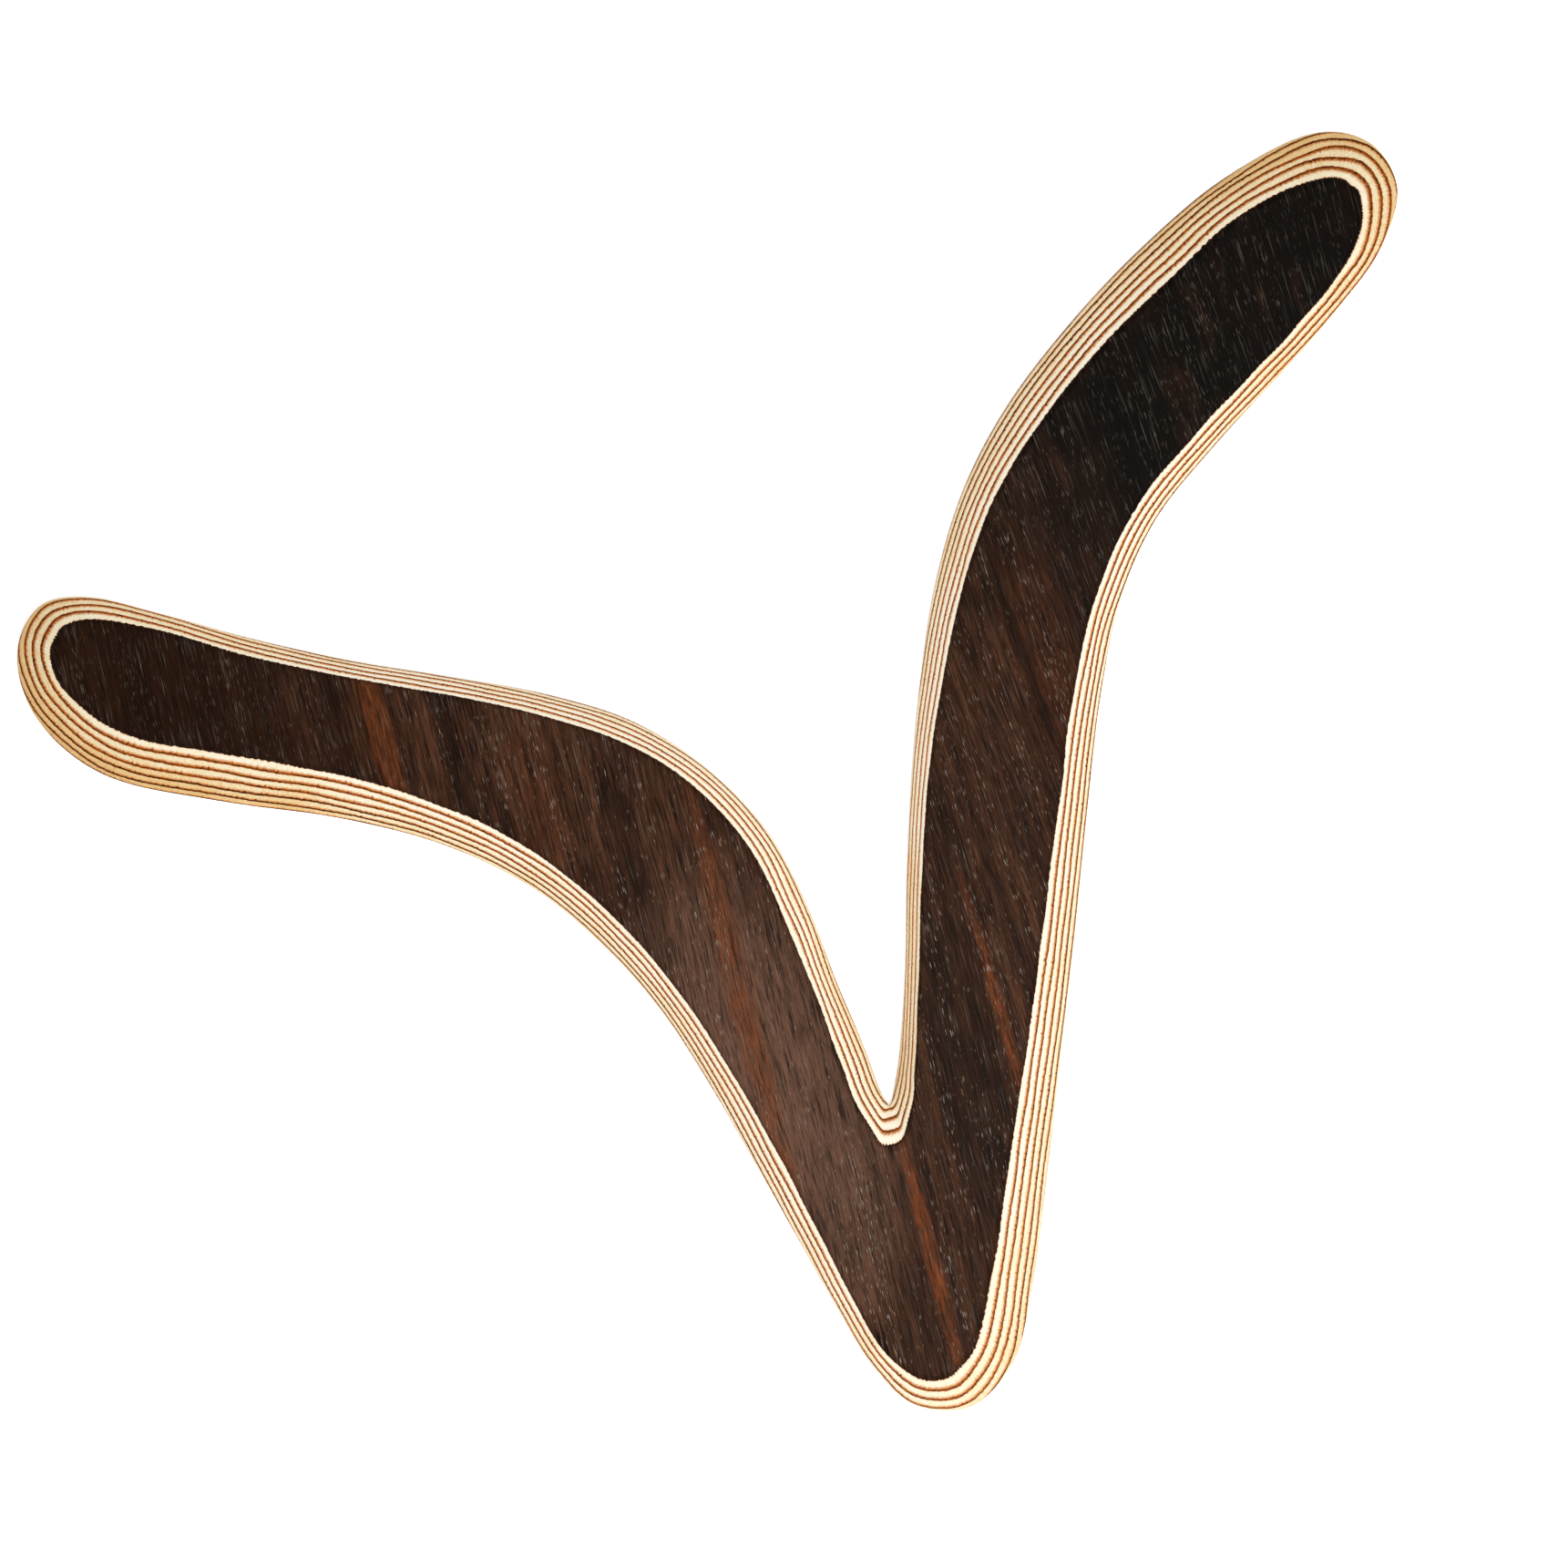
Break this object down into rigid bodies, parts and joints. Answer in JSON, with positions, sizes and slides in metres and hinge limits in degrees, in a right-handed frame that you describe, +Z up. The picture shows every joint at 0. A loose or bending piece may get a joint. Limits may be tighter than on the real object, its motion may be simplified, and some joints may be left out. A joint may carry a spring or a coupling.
{
  "type": "boomerang",
  "caption": "V-shaped returning boomerang with recurved wings, laminated from birch plies with a dark wood face veneer and a bevelled rim that bares the plies.",
  "frame": {"origin": "middle of the bounding box in plan, at the underside, which is the flat face the boomerang rests on", "axes": "+X across the two wing tips, -Y towards the nose, +Z up through the bevelled dark face"},
  "size_m": [0.4018, 0.2962, 0.0082],
  "materials": {
    "dark_veneer": "dark straight-grained hardwood veneer, open pores, thin satin oil finish",
    "pale_birch": "sanded pale birch ply, matte to satin",
    "golden_birch": "sanded golden birch ply cut across its grain, matte to satin",
    "glue_line": "cured red-brown resin film, sanded flush"
  },
  "bodies": {
    "root": {"back_veneer": "dark_veneer", "birch_ply_1": "pale_birch", "birch_ply_2": "golden_birch", "birch_ply_3": "pale_birch", "birch_ply_4": "golden_birch", "birch_ply_5": "pale_birch", "birch_ply_6": "golden_birch", "birch_ply_7": "pale_birch", "glue_film_1": "glue_line", "glue_film_2": "glue_line", "glue_film_3": "glue_line", "glue_film_4": "glue_line", "glue_film_5": "glue_line", "glue_film_6": "glue_line", "glue_film_7": "glue_line", "glue_film_8": "glue_line", "top_veneer": "dark_veneer"}
  },
  "joints": []
}
